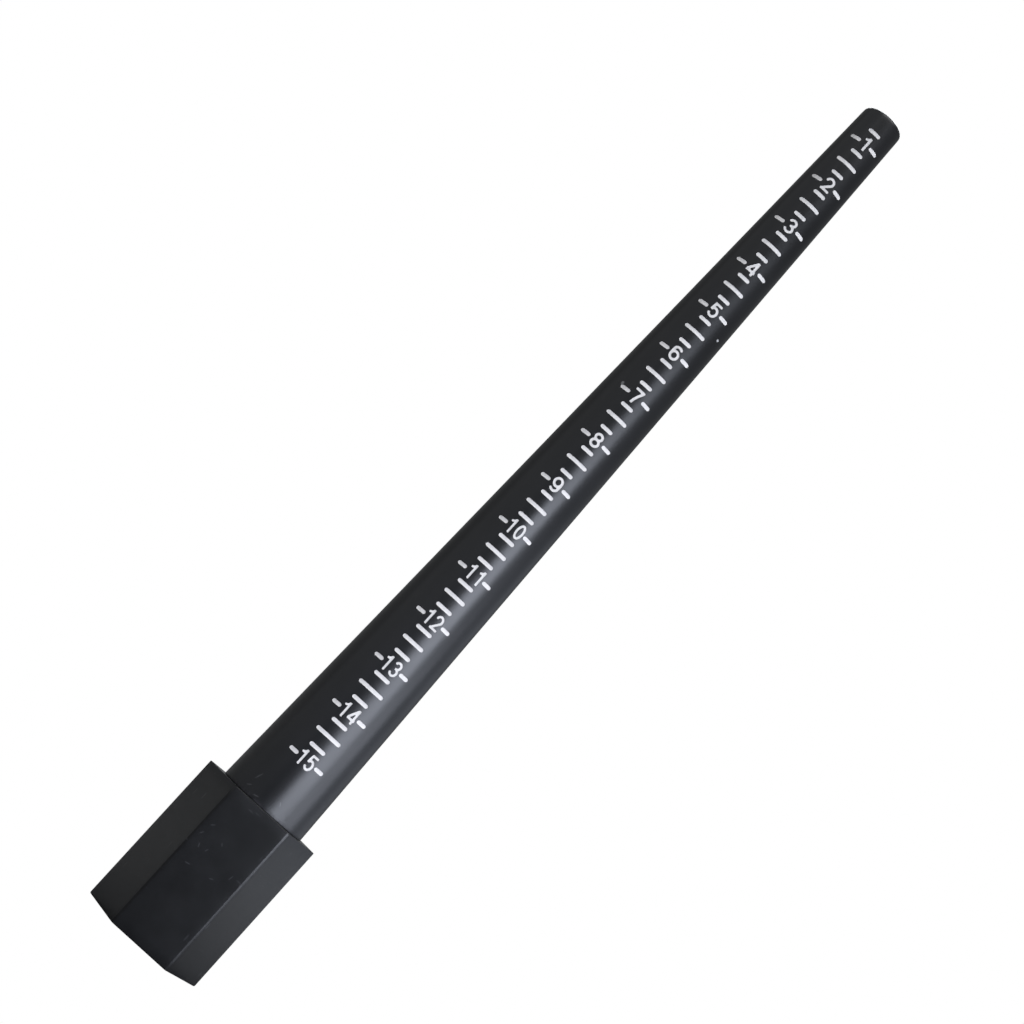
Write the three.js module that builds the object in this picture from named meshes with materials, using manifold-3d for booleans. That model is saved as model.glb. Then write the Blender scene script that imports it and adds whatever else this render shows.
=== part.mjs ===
// Ring mandrel: a tapered sizing spindle with engraved graduations filled in white, seated in a hexagonal
// handle. Millimetres, +Z up. The origin is the middle of the handle's flat butt, Z is the axis of the taper,
// and the scale faces -Y, over the middle of one flat of the handle.

import * as THREE from "three";
import { mergeVertices } from "three/addons/utils/BufferGeometryUtils.js";
import Module from "manifold-3d";

// Scale: inside diameters of US ring sizes, and the pitches of the sizes and of the quarters along the axis.
// The quarters before each number keep their pitch, so the first one after it stands a little closer.
const SIZE_ZERO_DIAMETER = 11.63;
const DIAMETER_PER_SIZE = 0.8128;
const SIZE_PITCH = 15.1;
const QUARTER_PITCH = 3.9;
const LARGEST_SIZE = 15;
const SMALLEST_SIZE = 1;

// Lengths along the axis
const HANDLE_LENGTH = 42.3;
const FOOT_BEYOND_LARGEST = 15.3;
const TIP_BEYOND_SMALLEST = 10.4;

// Handle
const ACROSS_FLATS = 29.5;
const LONG_EDGE_RADIUS = 0.8;
const END_CHAMFER = 0.4;
const SOCKET_RADIUS = 8.5;
const SOCKET_DEPTH = 32;

// Spindle
const SEAT_GAP = 0.3;
const SPIGOT_RADIUS = 8.2;
const SPIGOT_LENGTH = 30;
const SPIGOT_CHAMFER = 0.8;
const FOOT_CHAMFER = 0.25;
const TIP_ROUNDING = 1.1;

// Graduations: round-ended grooves across the scale, one at each quarter size, and the white filling in each
const MARK_WIDTH = 1.05;
const QUARTER_LENGTH = 3.75;
const LONG_QUARTER_LENGTH = 4.8;
const LONG_QUARTERS_FROM = 9.75;
const HALF_LENGTH = 6.4;
const LONG_HALF_LENGTH = 7.5;
const LONG_HALVES_FROM = 13;
const GROOVE_DEPTH = 0.4;
const FILLING_BELOW_SKIN = 0.06;
const FILLING_GAP = 0.05;

// Fineness of the round shapes
const ROUND_SEGMENTS = 72;
const ROUNDING_STEPS = 4;
const CURVE_DIVISIONS = 2;

const wasm = await Module();
wasm.setup();

const spindleBlack = new THREE.MeshStandardMaterial({ color: 0x1c1d20, roughness: 0.38, metalness: 0 });
const handleBlack = new THREE.MeshStandardMaterial({ color: 0x17181b, roughness: 0.5, metalness: 0 });
const scaleWhite = new THREE.MeshStandardMaterial({ color: 0xf0f0f0, roughness: 0.5, metalness: 0 });

const largestSizeZ = HANDLE_LENGTH + FOOT_BEYOND_LARGEST;
const tipZ = sizeZ(SMALLEST_SIZE) + TIP_BEYOND_SMALLEST;

// Height of a ring size's number on the scale, which runs from the tip down
function sizeZ(size) {
  return largestSizeZ + (LARGEST_SIZE - size) * SIZE_PITCH;
}

// Height of a quarter size, which is counted back towards the tip from the number that follows it
function graduationZ(size) {
  const following = Math.ceil(size);
  return sizeZ(following) + (following - size) * 4 * QUARTER_PITCH;
}

// Radius of the taper at a height
function taperRadius(z) {
  const size = LARGEST_SIZE - (z - largestSizeZ) / SIZE_PITCH;
  return (SIZE_ZERO_DIAMETER + DIAMETER_PER_SIZE * size) / 2;
}

// The closed solid of a three.js geometry, for cutting
function toSolid(geometry) {
  const bare = geometry.clone();
  bare.deleteAttribute("normal");
  bare.deleteAttribute("uv");
  const merged = mergeVertices(bare, 1e-5);
  const vertProperties = new Float32Array(merged.attributes.position.array);
  const triVerts = new Uint32Array(merged.index.array);
  return new wasm.Manifold(new wasm.Mesh({ numProp: 3, vertProperties, triVerts }));
}

// A mesh for a cut solid
function toMesh(name, solid, material) {
  const cut = solid.getMesh();
  const geometry = new THREE.BufferGeometry();
  geometry.setAttribute("position", new THREE.BufferAttribute(cut.vertProperties, 3));
  geometry.setIndex(new THREE.BufferAttribute(cut.triVerts, 1));
  geometry.computeVertexNormals();
  const mesh = new THREE.Mesh(geometry, material);
  mesh.name = name;
  return mesh;
}

// A solid of revolution about Z from [radius, z] points, which start and end on the axis
function turned(points) {
  const profile = points.map(([radius, z]) => new THREE.Vector2(radius, z));
  const geometry = new THREE.LatheGeometry(profile, ROUND_SEGMENTS);
  geometry.rotateX(Math.PI / 2);
  return toSolid(geometry);
}

// The taper as a solid, drawn in from the skin by a depth, and longer than the spindle at both ends
function taperBelowSkin(depth) {
  const low = HANDLE_LENGTH - 5;
  const high = tipZ + 5;
  return turned([
    [0, low],
    [taperRadius(low) - depth, low],
    [taperRadius(high) - depth, high],
    [0, high],
  ]);
}

// Rounded edge of the tip, from the taper to the flat end
function tipRounding() {
  const centreRadius = taperRadius(tipZ) - TIP_ROUNDING;
  const points = [];
  for (let step = 0; step <= ROUNDING_STEPS; step += 1) {
    const angle = (step / ROUNDING_STEPS) * (Math.PI / 2);
    const radius = centreRadius + TIP_ROUNDING * Math.cos(angle);
    points.push([radius, tipZ - TIP_ROUNDING + TIP_ROUNDING * Math.sin(angle)]);
  }
  return points;
}

// The spindle without its graduations: a taper on a spigot
function plainSpindle() {
  const spigotZ = HANDLE_LENGTH - SPIGOT_LENGTH;
  const footZ = HANDLE_LENGTH + SEAT_GAP;
  return turned([
    [0, spigotZ],
    [SPIGOT_RADIUS - SPIGOT_CHAMFER, spigotZ],
    [SPIGOT_RADIUS, spigotZ + SPIGOT_CHAMFER],
    [SPIGOT_RADIUS, footZ],
    [taperRadius(footZ) - FOOT_CHAMFER, footZ],
    [taperRadius(footZ + FOOT_CHAMFER), footZ + FOOT_CHAMFER],
    ...tipRounding(),
    [0, tipZ],
  ]);
}

// A round-ended bar across the scale at a height, from the axis out past the skin
function markBar(z, length, width) {
  const end = width / 2;
  const reach = length / 2 - end;
  const outline = new THREE.Shape();
  outline.absarc(reach, 0, end, -Math.PI / 2, Math.PI / 2, false);
  outline.absarc(-reach, 0, end, Math.PI / 2, (3 * Math.PI) / 2, false);
  const geometry = new THREE.ExtrudeGeometry(outline, {
    depth: taperRadius(HANDLE_LENGTH) + 1,
    bevelEnabled: false,
    curveSegments: CURVE_DIVISIONS,
  });
  geometry.rotateX(Math.PI / 2);
  geometry.translate(0, 0, z);
  return toSolid(geometry);
}

// Every quarter size between the numbers, and the one before the smallest
function graduationSizes() {
  const sizes = [];
  for (let size = SMALLEST_SIZE - 0.25; size < LARGEST_SIZE; size += 0.25) {
    if (!Number.isInteger(size)) sizes.push(size);
  }
  return sizes;
}

function graduationLength(size) {
  if (size % 1 === 0.5) return size > LONG_HALVES_FROM ? LONG_HALF_LENGTH : HALF_LENGTH;
  return size >= LONG_QUARTERS_FROM ? LONG_QUARTER_LENGTH : QUARTER_LENGTH;
}

function sizingSpindle() {
  const bars = graduationSizes().map((size) => {
    return markBar(graduationZ(size), graduationLength(size), MARK_WIDTH);
  });
  const grooves = wasm.Manifold.union(bars).subtract(taperBelowSkin(GROOVE_DEPTH));
  return toMesh("sizing_spindle", plainSpindle().subtract(grooves), spindleBlack);
}

// The white filling of each graduation, clear of its groove on every side
function graduationFillings() {
  const outer = taperBelowSkin(FILLING_BELOW_SKIN);
  const inner = taperBelowSkin(GROOVE_DEPTH - FILLING_GAP);
  const layer = outer.subtract(inner);
  return graduationSizes().map((size) => {
    const length = graduationLength(size) - 2 * FILLING_GAP;
    const bar = markBar(graduationZ(size), length, MARK_WIDTH - 2 * FILLING_GAP);
    const name = `graduation_${size.toFixed(2).replace(".", "_")}`;
    return toMesh(name, bar.intersect(layer), scaleWhite);
  });
}

// Regular hexagon with flats facing -Y and +Y and its corners rounded a little
function hexagonOutline(acrossFlats, cornerRadius) {
  const outline = new THREE.Shape();
  const centreDistance = (acrossFlats / 2 - cornerRadius) / Math.cos(Math.PI / 6);
  for (let corner = 0; corner < 6; corner += 1) {
    const angle = (corner * Math.PI) / 3;
    const x = centreDistance * Math.cos(angle);
    const y = centreDistance * Math.sin(angle);
    outline.absarc(x, y, cornerRadius, angle - Math.PI / 6, angle + Math.PI / 6, false);
  }
  outline.closePath();
  return outline;
}

function hexHandle() {
  const outline = hexagonOutline(ACROSS_FLATS - 2 * END_CHAMFER, LONG_EDGE_RADIUS);
  const body = new THREE.ExtrudeGeometry(outline, {
    depth: HANDLE_LENGTH - 2 * END_CHAMFER,
    bevelThickness: END_CHAMFER,
    bevelSize: END_CHAMFER,
    bevelSegments: 1,
    curveSegments: CURVE_DIVISIONS,
  });
  body.translate(0, 0, END_CHAMFER);
  const socketFloor = HANDLE_LENGTH - SOCKET_DEPTH;
  const socket = turned([
    [0, socketFloor],
    [SOCKET_RADIUS, socketFloor],
    [SOCKET_RADIUS, HANDLE_LENGTH + 1],
    [0, HANDLE_LENGTH + 1],
  ]);
  return toMesh("hex_handle", toSolid(body).subtract(socket), handleBlack);
}

const group = new THREE.Group();
group.add(hexHandle(), sizingSpindle(), ...graduationFillings());
export default group;
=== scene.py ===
"""Ring mandrel: the looks of the spindle, its engraved and filled scale, and its hexagonal handle."""

import math

import bpy
import numpy as np
from mathutils import Matrix, Vector


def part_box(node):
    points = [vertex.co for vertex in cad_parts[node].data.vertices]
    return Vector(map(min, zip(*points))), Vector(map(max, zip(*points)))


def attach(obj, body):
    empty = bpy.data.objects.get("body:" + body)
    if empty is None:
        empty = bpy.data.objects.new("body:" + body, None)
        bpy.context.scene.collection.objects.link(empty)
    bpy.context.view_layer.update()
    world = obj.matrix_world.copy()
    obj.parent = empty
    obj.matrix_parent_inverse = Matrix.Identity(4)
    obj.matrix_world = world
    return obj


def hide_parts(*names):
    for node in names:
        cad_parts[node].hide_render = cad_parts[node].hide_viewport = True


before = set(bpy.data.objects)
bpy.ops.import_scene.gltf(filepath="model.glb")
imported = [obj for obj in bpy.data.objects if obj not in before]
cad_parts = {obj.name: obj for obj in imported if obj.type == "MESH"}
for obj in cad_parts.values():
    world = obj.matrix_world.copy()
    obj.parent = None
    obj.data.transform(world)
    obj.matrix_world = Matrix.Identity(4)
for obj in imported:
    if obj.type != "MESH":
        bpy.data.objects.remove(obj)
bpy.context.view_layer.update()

MM = 0.001

# ---------------------------------------------------------------- driving sizes, from the frame
spindle_low, spindle_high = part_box("sizing_spindle")
handle_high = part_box("hex_handle")[1]
HANDLE_TOP = handle_high.z
APOTHEM = handle_high.y
TIP_Z = spindle_high.z
SPIGOT_END = spindle_low.z
LARGEST_SIZE = 15


def middle_height(node):
    low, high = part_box(node)
    return (low.z + high.z) / 2


SCALE_LENGTH = middle_height("graduation_0_75") - middle_height("graduation_14_75")
SIZE_PITCH = SCALE_LENGTH / (LARGEST_SIZE - 1)
QUARTER_PITCH = middle_height("graduation_14_50") - middle_height("graduation_14_75")
LARGEST_Z = middle_height("graduation_14_75") - QUARTER_PITCH

# Inside diameters of US ring sizes
SIZE_ZERO_DIAMETER = 11.63 * MM
DIAMETER_PER_SIZE = 0.8128 * MM


def size_height(size):
    return LARGEST_Z + (LARGEST_SIZE - size) * SIZE_PITCH


def taper_radius(z):
    size = LARGEST_SIZE - (z - LARGEST_Z) / SIZE_PITCH
    return (SIZE_ZERO_DIAMETER + DIAMETER_PER_SIZE * size) / 2


# ---------------------------------------------------------------- strokes of the scale
MARK_WIDTH = 1 * MM
DIGIT_HEIGHT = 4.2 * MM
DIGIT_RISE = 0.18 * MM
LONE_STROKE = 0.67 * MM
PAIR_STROKE = 0.58 * MM
LONE_WIDTH = 2.75 * MM
PAIR_WIDTH = 2.25 * MM
LONE_ONE_WIDTH = 1.6 * MM
PAIR_ONE_WIDTH = 1.38 * MM
PAIR_SPACE = 0.98 * MM
SPACE_BEFORE_ONE = 0.36 * MM
LONE_DASH_LENGTH = 2.75 * MM
PAIR_DASH_LENGTH = 2.6 * MM
ONE_DASH_FROM_MIDDLE = 2.87 * MM
LONE_DASH_FROM_MIDDLE = 3.36 * MM
PAIR_DASH_FROM_MIDDLE = 3.95 * MM

# A distance beyond every mark
FAR = 1.0


def oval(centre_x, centre_z, half_width, half_height, start, end, steps=18):
    """Points along an oval from one angle to another, in degrees from +X towards +Z."""
    angles = np.radians(np.linspace(start, end, steps + 1))
    return [(centre_x + half_width * math.cos(a), centre_z + half_height * math.sin(a)) for a in angles]


def digit_paths(digit, width, stroke):
    """Centre lines of a digit's strokes, in a box of that width whose lower left corner is the origin."""
    half = stroke / 2
    top = DIGIT_HEIGHT
    left, right, middle = half, width - half, width / 2
    low, high = half, top - half
    reach = (right - left) / 2
    # Half the heights of the two bowls of a 3 or an 8
    upper = (high - low) * 0.235
    lower = (high - low) / 2 - upper
    if digit == "0":
        return [oval(middle, top / 2, reach, top / 2 - half, 0, 360, 36)]
    if digit == "1":
        flag = [(right, 0.94 * top), (0.5 * width, 0.81 * top), (0, 0.74 * top)]
        return [[(right, 0), (right, top)], flag]
    if digit == "2":
        rise = 0.25 * top
        bowl = oval(middle, high - rise, reach, rise, 174, -26)
        return [bowl + [(left + 0.1 * width, low + 0.05 * top)], [(0.02 * width, low), (width, low)]]
    if digit == "3":
        waist = low + 2 * lower
        return [
            oval(middle, high - upper, reach * 0.92, upper, 168, -90),
            oval(middle, low + lower, reach, lower, 90, -166),
            [(middle - 0.12 * width, waist), (middle, waist)],
        ]
    if digit == "4":
        stem, bar_height = 0.77 * width, 0.27 * top
        slope = [(stem - 0.04 * width, high + 0.04 * top), (0.7 * half, bar_height + 0.02 * top)]
        return [[(stem, 0), (stem, top)], [(0, bar_height), (width, bar_height)], slope]
    if digit == "5":
        rise = 0.285 * top
        return [
            [(0.14 * width, high), (0.95 * width, high)],
            [(left + 0.12 * width, high), (left + 0.04 * width, 0.46 * top)],
            oval(middle, low + rise, reach, rise, 142, -162),
        ]
    if digit == "6":
        rise = 0.265 * top
        crown = 0.22 * top
        arch = oval(middle, high - crown, reach * 0.98, crown, 34, 165)
        back = arch + [(left, 0.56 * top), (left, low + rise)]
        return [oval(middle, low + rise, reach, rise, 0, 360, 30), back]
    if digit == "7":
        upper_leg = [(right + 0.02 * width, high), (0.62 * width, 0.55 * top)]
        lower_leg = [(0.46 * width, 0.25 * top), (0.4 * width, 0)]
        return [[(0, high), (width, high)], upper_leg + lower_leg]
    if digit == "8":
        return [
            oval(middle, high - upper, reach * 0.9, upper, 0, 360, 26),
            oval(middle, low + lower, reach, lower, 0, 360, 30),
        ]
    turned = digit_paths("6", width, stroke)
    return [[(width - x, top - z) for x, z in path] for path in turned]


class Mark:
    """One filled groove of the scale: its strokes in the plane facing the reader, x across and z up."""

    def __init__(self, name, paths, stroke, round_ends, node=None):
        self.name = name
        self.paths = [np.array(path) for path in paths]
        self.half = stroke / 2
        self.round_ends = round_ends
        self.node = node
        points = np.concatenate(self.paths)
        self.low = points.min(0) - self.half
        self.high = points.max(0) + self.half

    def distance(self, x, z):
        """Signed distance to the edge of the mark, below zero inside it."""
        nearest = np.full(x.shape, FAR)
        for path in self.paths:
            closed = np.allclose(path[0], path[-1])
            last = len(path) - 2
            for k, (start, end) in enumerate(zip(path[:-1], path[1:])):
                along = end - start
                length = np.hypot(*along)
                along = along / length
                run = (x - start[0]) * along[0] + (z - start[1]) * along[1]
                near = np.clip(run, 0, length)
                across = np.hypot(x - start[0] - near * along[0], z - start[1] - near * along[1])
                edge = across - self.half
                if not self.round_ends and not closed:
                    if k == 0:
                        edge = np.maximum(edge, -run)
                    if k == last:
                        edge = np.maximum(edge, run - length)
                nearest = np.minimum(nearest, edge)
        return nearest


def bar(name, x, z, length, node=None):
    reach = (length - MARK_WIDTH) / 2
    return Mark(name, [[(x - reach, z), (x + reach, z)]], MARK_WIDTH, True, node)


def graduation_marks():
    """The quarter lines, each as long as the CAD filling that it stands for."""
    marks = []
    for node in sorted(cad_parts):
        if node.startswith("graduation_"):
            low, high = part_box(node)
            clearance = MARK_WIDTH - (high.z - low.z)
            length = high.x - low.x + clearance
            marks.append(bar(node + "_filling", 0, middle_height(node), length, node))
    return marks


def number_marks(size):
    """A number with a dash on each side."""
    text = str(size)
    z = size_height(size)
    if len(text) == 1:
        widths = [LONE_ONE_WIDTH if text == "1" else LONE_WIDTH]
        gap = 0
        stroke = LONE_STROKE
        reach = ONE_DASH_FROM_MIDDLE if text == "1" else LONE_DASH_FROM_MIDDLE
        dash_length = LONE_DASH_LENGTH
    else:
        widths = [PAIR_ONE_WIDTH if digit == "1" else PAIR_WIDTH for digit in text]
        gap = PAIR_SPACE + (SPACE_BEFORE_ONE if text[1] == "1" else 0)
        stroke = PAIR_STROKE
        reach = PAIR_DASH_FROM_MIDDLE
        dash_length = PAIR_DASH_LENGTH
    x = -(sum(widths) + gap) / 2
    base = z + DIGIT_RISE - DIGIT_HEIGHT / 2
    marks = []
    for place, (digit, width) in enumerate(zip(text, widths)):
        paths = [[(x + px, base + pz) for px, pz in path] for path in digit_paths(digit, width, stroke)]
        marks.append(Mark(f"numeral_{size}_digit_{place + 1}_filling", paths, stroke, False))
        x += width + gap
    marks.append(bar(f"dash_{size}_left_filling", -reach, z, dash_length))
    marks.append(bar(f"dash_{size}_right_filling", reach, z, dash_length))
    return marks


marks = graduation_marks()
for whole_size in range(1, LARGEST_SIZE + 1):
    marks += number_marks(whole_size)

# ---------------------------------------------------------------- the spindle and its engraved scale
CELL = 0.25 * MM
COARSE_CELL = 0.8 * MM
MARK_MARGIN = 0.3 * MM
STRIP_HALF = 5.75 * MM
STRIP_COLUMNS = 46
BACK_COLUMNS = 46
STRIP_MARGIN = 0.6 * MM
GROOVE_DEPTH = 0.4 * MM
FILLING_FLOOR = 0.38 * MM
FILLING_RIM = 0.02 * MM
FILLING_SAG = 0.07 * MM
SAG_WIDTH = 0.18 * MM
TIP_ROUNDING = 1.1 * MM
FOOT_ROUNDING = 0.12 * MM
FOOT_GAP = 0.03 * MM
FOOT_STEPS = 4
TIP_STEPS = 8
PLAIN_FOOT_RINGS = 8
PLAIN_TIP_RINGS = 4
FOOT_RING_GAP = 1 * MM
STRIP_TOP_GAP = 0.6 * MM
TIP_RING_GAP = 0.4 * MM
TIP_FACE_SHARES = (0.7, 0.35)
SPIGOT_RADIUS = 8.2 * MM
SPIGOT_CHAMFER = 0.8 * MM
SNAP = 0.07 * CELL
SPINDLE_SHARP = 28
FILLING_SHARP = 50

strip_low = min(mark.low[1] for mark in marks) - STRIP_MARGIN
strip_high = max(mark.high[1] for mark in marks) + STRIP_MARGIN


def strip_heights():
    """Rows up the scale: close together where there is a mark, and further apart between marks."""
    spans = sorted((mark.low[1] - MARK_MARGIN, mark.high[1] + MARK_MARGIN) for mark in marks)
    merged = [list(spans[0])]
    for low, high in spans[1:]:
        if low <= merged[-1][1] + CELL:
            merged[-1][1] = max(merged[-1][1], high)
        else:
            merged.append([low, high])
    heights = [strip_low]
    for low, high in merged:
        for end, step in ((low, COARSE_CELL), (high, CELL)):
            count = max(1, math.ceil((end - heights[-1]) / step))
            heights += list(np.linspace(heights[-1], end, count + 1)[1:])
    return heights + [strip_high]


def quarter_turn(steps):
    return [step / steps * math.pi / 2 for step in range(steps + 1)]


def spindle_profile():
    """Rings [radius, height] from the spigot's end, out over the foot and up the taper to the tip."""
    foot = HANDLE_TOP + FOOT_GAP
    rings = [
        (SPIGOT_RADIUS / 2, SPIGOT_END),
        (SPIGOT_RADIUS - SPIGOT_CHAMFER, SPIGOT_END),
        (SPIGOT_RADIUS, SPIGOT_END + SPIGOT_CHAMFER),
        (SPIGOT_RADIUS, foot),
    ]
    for angle in quarter_turn(FOOT_STEPS):
        radius = taper_radius(foot) - FOOT_ROUNDING * (1 - math.sin(angle))
        rings.append((radius, foot + FOOT_ROUNDING * (1 - math.cos(angle))))
    heights = list(np.linspace(foot + FOOT_RING_GAP, strip_low - FOOT_RING_GAP, PLAIN_FOOT_RINGS))
    heights += strip_heights()
    plain_top = TIP_Z - TIP_ROUNDING - TIP_RING_GAP
    heights += list(np.linspace(strip_high + STRIP_TOP_GAP, plain_top, PLAIN_TIP_RINGS))
    rings += [(taper_radius(z), z) for z in heights]
    centre_radius = taper_radius(TIP_Z) - TIP_ROUNDING
    for angle in quarter_turn(TIP_STEPS):
        radius = centre_radius + TIP_ROUNDING * math.cos(angle)
        rings.append((radius, TIP_Z - TIP_ROUNDING * (1 - math.sin(angle))))
    rings += [(centre_radius * share, TIP_Z) for share in TIP_FACE_SHARES]
    return rings


def column_angles(z):
    """Angles of the columns from -Y towards +X: evenly spaced across the scale, and then round the back."""
    radius = taper_radius(min(max(z, strip_low), strip_high))
    across = np.linspace(-STRIP_HALF, STRIP_HALF, STRIP_COLUMNS + 1)
    front = np.arcsin(across / radius)
    back = front[-1] + (2 * math.pi - 2 * front[-1]) * np.arange(1, BACK_COLUMNS) / BACK_COLUMNS
    return np.concatenate([front, back])


def skin_point(x, z, depth):
    """A point below the skin of the taper, by a depth straight back from the reader."""
    return (x, -math.sqrt(taper_radius(z) ** 2 - x * x) + depth, z)


def scale_field(x, z):
    """Signed distance to the nearest mark at each point, and the number of that mark."""
    field = np.full(x.shape, FAR)
    owner = np.full(x.shape, -1)
    for number, mark in enumerate(marks):
        near = (z > mark.low[1] - MARK_MARGIN) & (z < mark.high[1] + MARK_MARGIN)
        near &= (x > mark.low[0] - MARK_MARGIN) & (x < mark.high[0] + MARK_MARGIN)
        distance = mark.distance(x[near], z[near])
        closer = distance < field[near]
        places = np.flatnonzero(near)[closer]
        field.flat[places] = distance[closer]
        owner.flat[places] = number
    return field, owner


class StripSplitter:
    """Cuts the triangles of the strip along the edges of the marks."""

    def __init__(self, x, z, field, owner):
        self.x, self.z, self.field, self.owner = (grid.ravel().tolist() for grid in (x, z, field, owner))
        self.cuts = {}

    def cut(self, a, b):
        key = (min(a, b), max(a, b))
        if key not in self.cuts:
            share = self.field[a] / (self.field[a] - self.field[b])
            self.x.append(self.x[a] + share * (self.x[b] - self.x[a]))
            self.z.append(self.z[a] + share * (self.z[b] - self.z[a]))
            self.field.append(0.0)
            self.owner.append(self.owner[a] if self.field[a] < 0 else self.owner[b])
            self.cuts[key] = len(self.x) - 1
        return self.cuts[key]

    def split(self, triangle):
        signs = [(self.field[v] > 0) - (self.field[v] < 0) for v in triangle]
        if 1 not in signs or -1 not in signs:
            return [triangle]
        if 0 in signs:
            k = signs.index(0)
            zero, after, before = triangle[k], triangle[(k + 1) % 3], triangle[(k + 2) % 3]
            middle = self.cut(after, before)
            return [(zero, after, middle), (zero, middle, before)]
        k = next(i for i in range(3) if signs.count(signs[i]) == 1)
        lone, after, before = triangle[k], triangle[(k + 1) % 3], triangle[(k + 2) % 3]
        first, second = self.cut(lone, after), self.cut(lone, before)
        return [(lone, first, second), (first, after, before), (first, before, second)]


def ring_face(row, column, count):
    """The face between two points of a ring and the two above them."""
    after = (column + 1) % count
    return row * count + column, row * count + after, (row + 1) * count + after, (row + 1) * count + column


def close_ring(points, faces, ring, count, height, turn):
    """Closes a ring by a fan of faces round a point on the axis."""
    points.append((0, 0, height))
    rim = [ring * count + column for column in range(count)][::turn]
    faces += [(rim[i], rim[(i + 1) % count], len(points) - 1) for i in range(count)]


def outline_edges(triangles):
    """Directed edges that only one of the triangles has."""
    edges = {(t[i], t[(i + 1) % 3]) for t in triangles for i in range(3)}
    return [edge for edge in edges if (edge[1], edge[0]) not in edges]


def build_mesh(name, points, faces, sharp_degrees):
    mesh = bpy.data.meshes.new(name)
    mesh.from_pydata(points, [], faces)
    mesh.validate()
    mesh.shade_smooth()
    mesh.set_sharp_from_angle(angle=math.radians(sharp_degrees))
    piece = bpy.data.objects.new(name, mesh)
    bpy.context.scene.collection.objects.link(piece)
    return piece


def engraved_spindle():
    """The spindle, and for each mark the triangles inside its edge, in the chart of the strip."""
    rings = spindle_profile()
    angles = np.array([column_angles(z) for _, z in rings])
    radii = np.array([radius for radius, _ in rings])[:, None]
    heights = np.array([z for _, z in rings])
    count = angles.shape[1]
    x_grid = radii * np.sin(angles)
    y_grid = -radii * np.cos(angles)
    z_grid = np.repeat(heights[:, None], count, 1)
    points = [tuple(p) for p in np.stack([x_grid, y_grid, z_grid], -1).reshape(-1, 3)]
    first = int(np.argmin(abs(heights - strip_low)))
    last = int(np.argmin(abs(heights - strip_high)))
    field = np.full(x_grid.shape, FAR)
    owner = np.full(x_grid.shape, -1)
    window = (slice(first, last + 1), slice(0, STRIP_COLUMNS + 1))
    field[window], owner[window] = scale_field(x_grid[window], z_grid[window])
    field[abs(field) < SNAP] = 0
    splitter = StripSplitter(x_grid, z_grid, field, owner)
    faces, outside, inside = [], [], []
    for row in range(len(rings) - 1):
        for column in range(count):
            face = ring_face(row, column, count)
            in_strip = first <= row < last and column < STRIP_COLUMNS
            if not in_strip or min(splitter.field[v] for v in face) > 0:
                faces.append(face)
                continue
            a, b, c, d = face
            halves = [(a, b, c), (a, c, d)] if (row + column) % 2 else [(a, b, d), (b, c, d)]
            for half in halves:
                for piece in splitter.split(half):
                    lowest = min(splitter.field[v] for v in piece)
                    (inside if lowest < 0 else outside).append(piece)
    faces += outside
    points += [skin_point(splitter.x[v], splitter.z[v], 0) for v in range(len(points), len(splitter.x))]
    floor = {}
    for v in sorted({v for t in inside for v in t}):
        floor[v] = len(points)
        points.append(skin_point(splitter.x[v], splitter.z[v], GROOVE_DEPTH))
    faces += [tuple(floor[v] for v in t) for t in inside]
    faces += [(a, b, floor[b], floor[a]) for a, b in outline_edges(inside)]
    close_ring(points, faces, 0, count, SPIGOT_END, -1)
    close_ring(points, faces, len(rings) - 1, count, TIP_Z, 1)
    return build_mesh("engraved_spindle", points, faces, SPINDLE_SHARP), splitter, inside


def filling(mark, splitter, triangles):
    """The white filling of one groove: a closed body whose top sags a little from its rim."""
    used = sorted({v for t in triangles for v in t})
    top = {v: k for k, v in enumerate(used)}
    low = {v: k + len(used) for k, v in enumerate(used)}
    points = []
    for v in used:
        sag = FILLING_SAG * (1 - math.exp(min(0, splitter.field[v]) / SAG_WIDTH))
        points.append(skin_point(splitter.x[v], splitter.z[v], FILLING_RIM + sag))
    points += [skin_point(splitter.x[v], splitter.z[v], FILLING_FLOOR) for v in used]
    faces = [tuple(top[v] for v in t) for t in triangles]
    faces += [tuple(low[v] for v in reversed(t)) for t in triangles]
    faces += [(top[b], top[a], low[a], low[b]) for a, b in outline_edges(triangles)]
    return build_mesh(mark.name, points, faces, FILLING_SHARP)


spindle, splitter, inside = engraved_spindle()
triangles_of = {number: [] for number in range(len(marks))}
for triangle in inside:
    deepest = min(triangle, key=lambda v: splitter.field[v])
    triangles_of[splitter.owner[deepest]].append(triangle)
fillings = [filling(mark, splitter, triangles_of[number]) for number, mark in enumerate(marks)]

# ---------------------------------------------------------------- the handle
LONG_EDGE_RADIUS = 0.3 * MM
LONG_EDGE_FLAT_HALF = 0.2 * MM
BUTT_ROUNDING = 0.4 * MM
SHOULDER_ROUNDING = 0.15 * MM
SOCKET_RADIUS = 8.5 * MM
SOCKET_DEPTH = 32 * MM
SOCKET_CHAMFER = 0.2 * MM
SHOULDER_RING_RADIUS = 12.9 * MM
SIDE_STEPS = 12
CORNER_STEPS = 4
END_STEPS = 4
HANDLE_ROWS = 16
HANDLE_SHARP = 35


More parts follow.
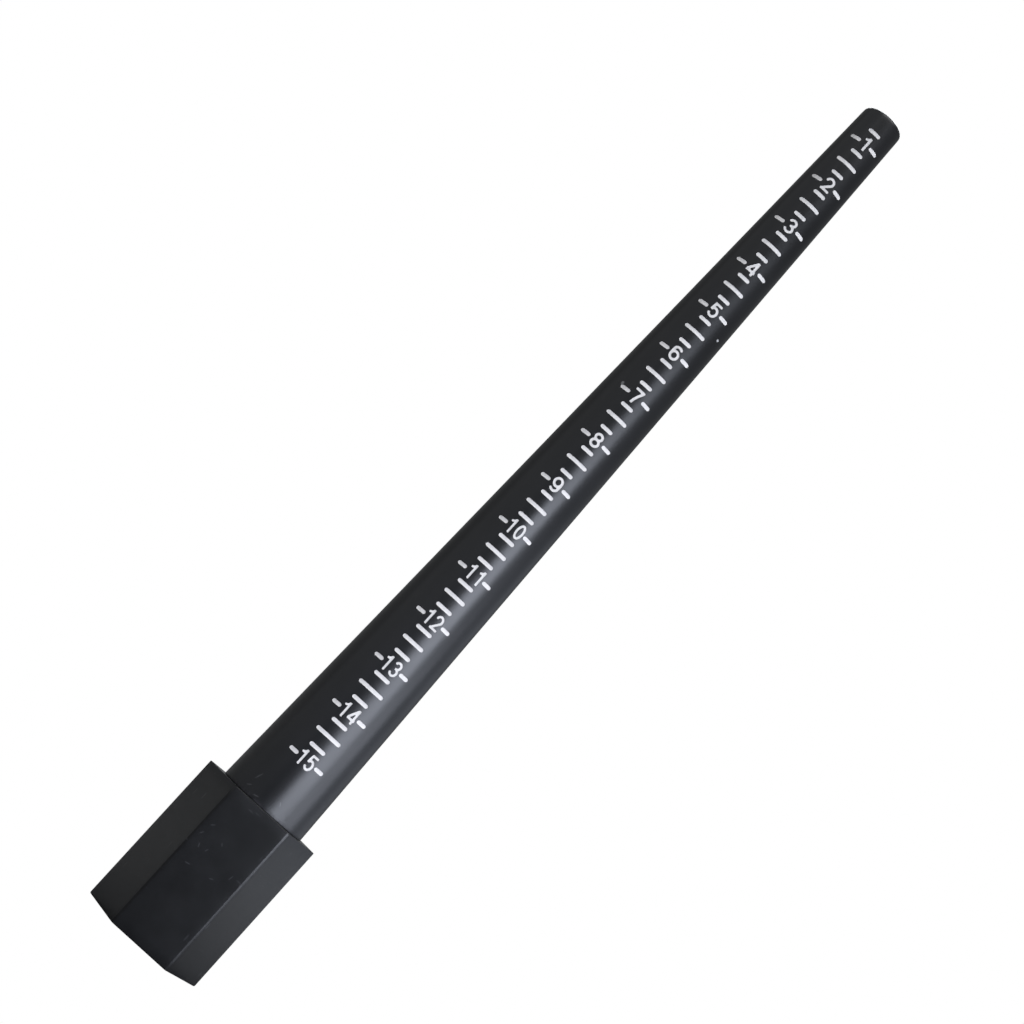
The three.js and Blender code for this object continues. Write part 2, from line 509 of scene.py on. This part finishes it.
def hexagon_ring(inset, z):
    """Points round the handle at a height, drawn in by an inset. Narrow rounded flats cut its corners."""
    radius, half = LONG_EDGE_RADIUS, LONG_EDGE_FLAT_HALF
    reach = (APOTHEM - inset - radius - half / 2) / math.cos(math.pi / 6)
    corners = []
    for corner in range(6):
        middle = corner * math.pi / 3
        points = []
        for side in (-1, 1):
            centre_x = reach * math.cos(middle) - side * half * math.sin(middle)
            centre_y = reach * math.sin(middle) + side * half * math.cos(middle)
            ends = sorted((middle, middle + side * math.pi / 6))
            for turn in np.linspace(*ends, CORNER_STEPS + 1):
                points.append((centre_x + radius * math.cos(turn), centre_y + radius * math.sin(turn), z))
        corners.append(points)
    ring = []
    for corner in range(6):
        ring += corners[corner]
        start, end = np.array(corners[corner][-1]), np.array(corners[(corner + 1) % 6][0])
        ring += [tuple(start + (end - start) * step / SIDE_STEPS) for step in range(1, SIDE_STEPS)]
    return ring


def circle_like(ring, radius, z):
    """A circle whose points stand in line with the points of a ring."""
    return [(radius * x / math.hypot(x, y), radius * y / math.hypot(x, y), z) for x, y, _ in ring]


def handle_rings():
    """Rings of points from the middle of the butt, up the sides, over the shoulder and into the socket."""
    rings = []
    for angle in quarter_turn(END_STEPS):
        inset = BUTT_ROUNDING * (1 - math.sin(angle))
        rings.append(hexagon_ring(inset, BUTT_ROUNDING * (1 - math.cos(angle))))
    for z in np.linspace(BUTT_ROUNDING, HANDLE_TOP - SHOULDER_ROUNDING, HANDLE_ROWS + 1)[1:-1]:
        rings.append(hexagon_ring(0, z))
    for angle in reversed(quarter_turn(END_STEPS)):
        inset = SHOULDER_ROUNDING * (1 - math.sin(angle))
        rings.append(hexagon_ring(inset, HANDLE_TOP - SHOULDER_ROUNDING * (1 - math.cos(angle))))
    butt = circle_like(rings[0], APOTHEM / 2, 0)
    socket_floor = HANDLE_TOP - SOCKET_DEPTH
    inner_circles = (
        (SHOULDER_RING_RADIUS, HANDLE_TOP),
        (SOCKET_RADIUS + SOCKET_CHAMFER, HANDLE_TOP),
        (SOCKET_RADIUS, HANDLE_TOP - SOCKET_CHAMFER),
        (SOCKET_RADIUS, socket_floor),
        (SOCKET_RADIUS / 2, socket_floor),
    )
    return [butt, *rings, *(circle_like(rings[-1], radius, z) for radius, z in inner_circles)]


def hexagonal_handle():
    rings = handle_rings()
    count = len(rings[0])
    points = [point for ring in rings for point in ring]
    rows = range(len(rings) - 1)
    faces = [ring_face(row, column, count) for row in rows for column in range(count)]
    close_ring(points, faces, 0, count, 0, -1)
    close_ring(points, faces, len(rings) - 1, count, HANDLE_TOP - SOCKET_DEPTH, 1)
    return build_mesh("hexagonal_handle", points, faces, HANDLE_SHARP)


handle = hexagonal_handle()

# ---------------------------------------------------------------- materials
# Specks of white paint on the front: x, size on the scale, length and brightness, lengths in millimetres
PAINT_SPOT_WIDTH = 0.75 * MM
PAINT_SPOTS = ((5.8, 5.29, 0.8, 0.4), (-4.85, 6.95, 1.2, 0.14))

# Short scratches on the front: x, height above the foot or the butt, and length, in millimetres, and then
# the lean in degrees
SCRATCH_WIDTH = 0.35 * MM
FOOT_SCRATCHES = (
    (-5.9, 5.2, 2.6, 20),
    (-6.3, 2.2, 1.6, 55),
    (-3.3, 1.3, 1.8, 75),
    (2.4, 3.6, 1.4, -35),
)
HANDLE_SCRATCHES = (
    (-7, 29, 1.3, 30),
    (-6.2, 32, 1.5, 50),
    (-5.5, 26.4, 1.4, -20),
    (-3.3, 26.7, 1.2, 20),
    (-4.6, 21.6, 1.7, 80),
    (-1.5, 30, 1.1, -40),
    (2, 22.5, 1.3, 60),
    (5.3, 25.7, 1.7, 10),
)
RUBBED_HEIGHT = 1.2 * MM
# Sizes between which painted shade takes the spindle's black from its lighter tone by the handle to its
# darker tone towards the tip
PAINTED_LIGHT_UP_TO_SIZE = 14
PAINTED_SHADE_FROM_SIZE = 7

# Sockets of a colour Mix node, whose names are shared by its other kinds
MIX_FACTOR, MIX_FIRST, MIX_SECOND, MIX_RESULT = 0, 6, 7, 2


def map_range(tree, value, low, high, to_low, to_high):
    """A value that is to_low at low and to_high at high, and keeps to them beyond."""
    node = tree.nodes.new("ShaderNodeMapRange")
    node.inputs["From Min"].default_value = low
    node.inputs["From Max"].default_value = high
    node.inputs["To Min"].default_value = to_low
    node.inputs["To Max"].default_value = to_high
    tree.links.new(value, node.inputs["Value"])
    return node.outputs["Result"]


class Finish:
    """A Principled material whose texture nodes are added one by one."""

    def __init__(self, name, roughness, specular):
        self.roughness = roughness
        self.material = bpy.data.materials.new(name)
        self.material.use_nodes = True
        self.tree = self.material.node_tree
        self.shader = self.tree.nodes["Principled BSDF"]
        self.shader.inputs["Roughness"].default_value = roughness
        self.shader.inputs["Specular IOR Level"].default_value = specular
        self.place = self.tree.nodes.new("ShaderNodeTexCoord").outputs["Object"]

    def link(self, source, target):
        self.tree.links.new(source, target)

    def stretched(self, scale):
        node = self.tree.nodes.new("ShaderNodeMapping")
        node.inputs["Scale"].default_value = scale
        self.link(self.place, node.inputs["Vector"])
        return node.outputs["Vector"]

    def along(self, axis):
        node = self.tree.nodes.new("ShaderNodeSeparateXYZ")
        self.link(self.place, node.inputs["Vector"])
        return node.outputs[axis]

    def scratch(self, x, z, length, width, lean):
        """One on a short scratch on the front, given its middle and its lean from upright in degrees."""
        turn = math.radians(lean)
        across = self.math("SUBTRACT", self.along("X"), x)
        up = self.math("SUBTRACT", self.along("Z"), z)
        spread = self.math("GREATER_THAN", self.along("Y"), 0)
        for x_part, z_part, reach in (
            (math.cos(turn), -math.sin(turn), width / 2),
            (math.sin(turn), math.cos(turn), length / 2),
        ):
            x_run = self.math("MULTIPLY", across, x_part / reach)
            run = self.math("ADD", x_run, self.math("MULTIPLY", up, z_part / reach))
            spread = self.math("ADD", self.math("MULTIPLY", run, run), spread)
        return self.range(spread, 0.35, 1, 1, 0)

    def scratched(self, base, scratches, base_height, shade):
        """A colour with light scratches above a base height."""
        for x, rise, length, lean in scratches:
            z = base_height + rise * MM
            scratch = self.scratch(x * MM, z, length * MM, SCRATCH_WIDTH, lean)
            base = self.mix(scratch, base, shade)
        return base

    def vary_roughness(self, texture, spread):
        """Roughness that wanders with a texture by a spread to each side of its plain value."""
        low, high = self.roughness - spread, self.roughness + spread
        self.link(self.range(texture, 0.3, 0.75, low, high), self.shader.inputs["Roughness"])

    def noise(self, scale, detail=3, roughness=0.5, vector=None):
        node = self.tree.nodes.new("ShaderNodeTexNoise")
        node.inputs["Scale"].default_value = scale
        node.inputs["Detail"].default_value = detail
        node.inputs["Roughness"].default_value = roughness
        self.link(vector or self.place, node.inputs["Vector"])
        return node.outputs["Fac"]

    def cells(self, scale, vector=None):
        node = self.tree.nodes.new("ShaderNodeTexVoronoi")
        node.inputs["Scale"].default_value = scale
        self.link(vector or self.place, node.inputs["Vector"])
        return node.outputs["Distance"]

    def range(self, value, low, high, to_low, to_high):
        return map_range(self.tree, value, low, high, to_low, to_high)

    def math(self, operation, first, second):
        node = self.tree.nodes.new("ShaderNodeMath")
        node.operation = operation
        for socket, value in zip(node.inputs, (first, second)):
            if isinstance(value, (int, float)):
                socket.default_value = value
            else:
                self.link(value, socket)
        return node.outputs["Value"]

    def mix(self, amount, first, second):
        node = self.tree.nodes.new("ShaderNodeMix")
        node.data_type = "RGBA"
        self.link(amount, node.inputs[MIX_FACTOR])
        for number, value in ((MIX_FIRST, first), (MIX_SECOND, second)):
            if isinstance(value, tuple):
                node.inputs[number].default_value = (*value, 1)
            else:
                self.link(value, node.inputs[number])
        return node.outputs[MIX_RESULT]

    def bump(self, height, strength, distance):
        node = self.tree.nodes.new("ShaderNodeBump")
        node.inputs["Strength"].default_value = strength
        node.inputs["Distance"].default_value = distance
        self.link(height, node.inputs["Height"])
        previous = self.shader.inputs["Normal"]
        if previous.is_linked:
            self.link(previous.links[0].from_socket, node.inputs["Normal"])
        self.link(node.outputs["Normal"], previous)


def spindle_finish():
    """Satin black, dusty in patches, with painted shade that makes it a little lighter towards the handle
    and darker towards the tip.
    """
    finish = Finish("satin_black_plastic", 0.34, 0.5)
    clouds = finish.range(finish.noise(55, 4), 0.35, 0.7, 0, 1)
    # Painted shade: a lighter tone by the handle and a darker one towards the tip, mixed by height, stand
    # in for light that falls off up the taper
    painted_lit_tone = finish.mix(clouds, (0.0085, 0.009, 0.0105), (0.0125, 0.013, 0.015))
    painted_shaded_tone = finish.mix(clouds, (0.0055, 0.0058, 0.0066), (0.008, 0.0083, 0.0092))
    painted_light_z, painted_shade_z = size_height(PAINTED_LIGHT_UP_TO_SIZE), size_height(PAINTED_SHADE_FROM_SIZE)
    painted_falloff = finish.range(finish.along("Z"), painted_light_z, painted_shade_z, 0, 1)
    base = finish.mix(painted_falloff, painted_lit_tone, painted_shaded_tone)
    dust = finish.range(finish.cells(900), 0.035, 0.06, 1, 0)
    patches = finish.range(finish.noise(38, 2), 0.56, 0.66, 0, 1)
    speck = finish.math("MULTIPLY", dust, patches)
    base = finish.mix(finish.math("MULTIPLY", speck, 0.5), base, (0.12, 0.12, 0.12))
    for x, size, length, shade in PAINT_SPOTS:
        spot = finish.scratch(x * MM, size_height(size), length * MM, PAINT_SPOT_WIDTH, 0)
        base = finish.mix(spot, base, (shade, shade, shade))
    base = finish.scratched(base, FOOT_SCRATCHES, HANDLE_TOP, (0.045, 0.045, 0.048))
    rubbed = finish.range(finish.noise(700, 3), 0.45, 0.6, 0, 1)
    near_foot = finish.range(finish.along("Z"), HANDLE_TOP, HANDLE_TOP + RUBBED_HEIGHT, 0.5, 0)
    base = finish.mix(finish.math("MULTIPLY", rubbed, near_foot), base, (0.05, 0.05, 0.055))
    finish.link(base, finish.shader.inputs["Base Color"])
    finish.vary_roughness(finish.noise(160, 5, 0.6, finish.stretched((1, 1, 0.12))), 0.04)
    finish.bump(finish.noise(2600, 2), 0.12, 0.02 * MM)
    finish.bump(finish.noise(90, 3), 0.25, 0.03 * MM)
    return finish.material


def handle_finish():
    """A deeper, smoother black, with smears and patches of fine scratches along it and across it."""
    finish = Finish("matt_black_plastic", 0.315, 0.5)
    clouds = finish.range(finish.noise(70, 4), 0.35, 0.7, 0, 1)
    base = finish.mix(clouds, (0.003, 0.0032, 0.004), (0.005, 0.0053, 0.0063))
    patches = finish.range(finish.noise(75, 3), 0.46, 0.6, 0, 1)
    for scale, turned, strength in ((420, (1, 1, 0.22), 0.7), (480, (0.25, 1, 1), 0.5)):
        strokes = finish.range(finish.cells(scale, finish.stretched(turned)), 0.05, 0.12, strength, 0)
        base = finish.mix(finish.math("MULTIPLY", strokes, patches), base, (0.06, 0.06, 0.065))
    base = finish.scratched(base, HANDLE_SCRATCHES, 0, (0.03, 0.03, 0.033))
    finish.link(base, finish.shader.inputs["Base Color"])
    finish.vary_roughness(finish.noise(140, 5, 0.6), 0.03)
    finish.bump(finish.noise(3000, 2), 0.15, 0.02 * MM)
    return finish.material


def filling_finish():
    """White paint, with painted shade that makes it a little greyer towards the tip."""
    finish = Finish("white_filling_paint", 0.65, 0.25)
    patches = finish.range(finish.noise(900, 4), 0.35, 0.7, 0, 1)
    lit_paint_tone = finish.mix(patches, (0.73, 0.71, 0.69), (0.83, 0.8, 0.775))
    painted_shade_paint_tone = finish.mix(patches, (0.52, 0.51, 0.495), (0.64, 0.615, 0.59))
    # Painted shade: the paint greys by height towards the tip, standing in for light that falls off there
    base = finish.mix(finish.range(finish.along("Z"), LARGEST_Z, TIP_Z, 0, 1), lit_paint_tone, painted_shade_paint_tone)
    finish.link(base, finish.shader.inputs["Base Color"])
    finish.bump(finish.noise(1500, 3), 0.3, 0.03 * MM)
    return finish.material


spindle.data.materials.append(spindle_finish())
handle.data.materials.append(handle_finish())
white = filling_finish()
for piece in fillings:
    piece.data.materials.append(white)

# ---------------------------------------------------------------- pieces and the frame
bodies = (
    (spindle, "sizing_spindle", "spindle_plastic"),
    (handle, "hex_handle", "handle_plastic"),
)
for piece, node, slot in bodies:
    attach(piece, "root")
    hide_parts(node)
for mark, piece in zip(marks, fillings):
    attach(piece, "root")
    if mark.node:
        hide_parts(mark.node)

# ---------------------------------------------------------------- studio
FLOOR_HALF = 4
DARK_FLOOR_Y = -0.05
LIGHT_FLOOR_Y = 0.15
DARK_FLOOR_SHADE = 0.08
LIGHT_FLOOR_SHADE = 0.45
STUDIO_STRENGTH = 0.2
WHITE = (1, 1, 1)
COOL = (0.95, 0.98, 1)
COOLER = (0.93, 0.95, 1)
BLUE = (0.82, 0.87, 1)
BLUER = (0.78, 0.85, 1)


def for_camera_only(tree, seen, otherwise):
    """A shader that is one thing to the camera and another thing to the light."""
    choose = tree.nodes.new("ShaderNodeMixShader")
    tree.links.new(tree.nodes.new("ShaderNodeLightPath").outputs["Is Camera Ray"], choose.inputs["Fac"])
    tree.links.new(otherwise, choose.inputs[1])
    tree.links.new(seen, choose.inputs[2])
    return choose.outputs["Shader"]


def studio_floor():
    """A white floor that throws back little light in front, where the flats mirror it, and more behind."""
    mesh = bpy.data.meshes.new("studio_floor")
    corners = [(x * FLOOR_HALF, y * FLOOR_HALF, 0) for x, y in ((-1, -1), (1, -1), (1, 1), (-1, 1))]
    mesh.from_pydata(corners, [], [(0, 1, 2, 3)])
    floor = bpy.data.objects.new("studio_floor", mesh)
    bpy.context.scene.collection.objects.link(floor)
    material = bpy.data.materials.new("white_floor")
    material.use_nodes = True
    tree = material.node_tree
    tree.nodes.clear()
    white_seen = tree.nodes.new("ShaderNodeEmission")
    card = tree.nodes.new("ShaderNodeBsdfDiffuse")
    split = tree.nodes.new("ShaderNodeSeparateXYZ")
    tree.links.new(tree.nodes.new("ShaderNodeTexCoord").outputs["Object"], split.inputs["Vector"])
    limits = (DARK_FLOOR_Y, LIGHT_FLOOR_Y, DARK_FLOOR_SHADE, LIGHT_FLOOR_SHADE)
    tree.links.new(map_range(tree, split.outputs["Y"], *limits), card.inputs["Color"])
    surface = for_camera_only(tree, white_seen.outputs["Emission"], card.outputs["BSDF"])
    tree.links.new(surface, tree.nodes.new("ShaderNodeOutputMaterial").inputs["Surface"])
    mesh.materials.append(material)


def studio_world():
    """A white backdrop for the camera, and a dim even studio for everything else."""
    world = bpy.data.worlds.new("studio")
    world.use_nodes = True
    tree = world.node_tree
    backdrop = tree.nodes["Background"]
    backdrop.inputs["Color"].default_value = (*WHITE, 1)
    dim = tree.nodes.new("ShaderNodeBackground")
    dim.inputs["Color"].default_value = (*COOL, 1)
    dim.inputs["Strength"].default_value = STUDIO_STRENGTH
    surface = for_camera_only(tree, backdrop.outputs["Background"], dim.outputs["Background"])
    tree.links.new(surface, tree.nodes["World Output"].inputs["Surface"])
    bpy.context.scene.world = world


# Azimuth in degrees to the right of the reader, height, distance, width, length, radiance, colour, and the
# height on the axis that the light is turned to
SOFTBOXES = {
    "high_key": (5, 1, 0.42, 0.9, 0.6, 2.6, WHITE, 0.12),
    "streak": (34, 0.13, 0.5, 0.31, 0.36, 8.2, BLUE, 0.12),
    "streak_foot": (68, 0.055, 0.5, 0.36, 0.17, 4.6, BLUE, 0.12),
    "right_side": (112, 0.1, 0.3, 0.32, 0.2, 0.39, BLUER, 0.1),
    "left_fill": (-62, 0.3, 0.6, 1, 0.9, 0.27, COOLER, 0.15),
    "back_top": (180, 0.95, 0.65, 0.5, 0.6, 7, COOL, 0.12),
}


def softbox(name, azimuth, height, distance, width, length, radiance, colour, target_height):
    """A rectangular light that is as bright from any distance as its radiance says."""
    data = bpy.data.lights.new(name, "AREA")
    data.shape = "RECTANGLE"
    data.size = width
    data.size_y = length
    data.energy = radiance * math.pi * width * length
    data.color = colour
    light = bpy.data.objects.new(name, data)
    turn = math.radians(azimuth)
    light.location = (distance * math.sin(turn), -distance * math.cos(turn), height)
    aim = Vector((0, 0, target_height)) - light.location
    light.rotation_euler = aim.to_track_quat("-Z", "Y").to_euler()
    light.visible_camera = False
    bpy.context.scene.collection.objects.link(light)


studio_floor()
studio_world()
for light_name, settings in SOFTBOXES.items():
    softbox(light_name, *settings)

# ---------------------------------------------------------------- camera
CAMERA_PLACE = (-15.2 * MM, -505.4 * MM, 58.1 * MM)
CAMERA_TURN = math.radians(-1.34)
CAMERA_RISE = math.radians(8.9)
CAMERA_ROLL = math.radians(42.3)
CAMERA_LENS = 71.9


def make_camera():
    data = bpy.data.cameras.new("camera")
    data.lens = CAMERA_LENS
    data.clip_start = 0.01
    camera = bpy.data.objects.new("camera", data)
    aim = Matrix.Rotation(CAMERA_TURN, 4, "Z") @ Matrix.Rotation(math.pi / 2 + CAMERA_RISE, 4, "X")
    camera.matrix_world = Matrix.Translation(CAMERA_PLACE) @ aim @ Matrix.Rotation(CAMERA_ROLL, 4, "Z")
    bpy.context.scene.collection.objects.link(camera)
    bpy.context.scene.camera = camera


make_camera()
bpy.context.scene.view_settings.view_transform = "Standard"
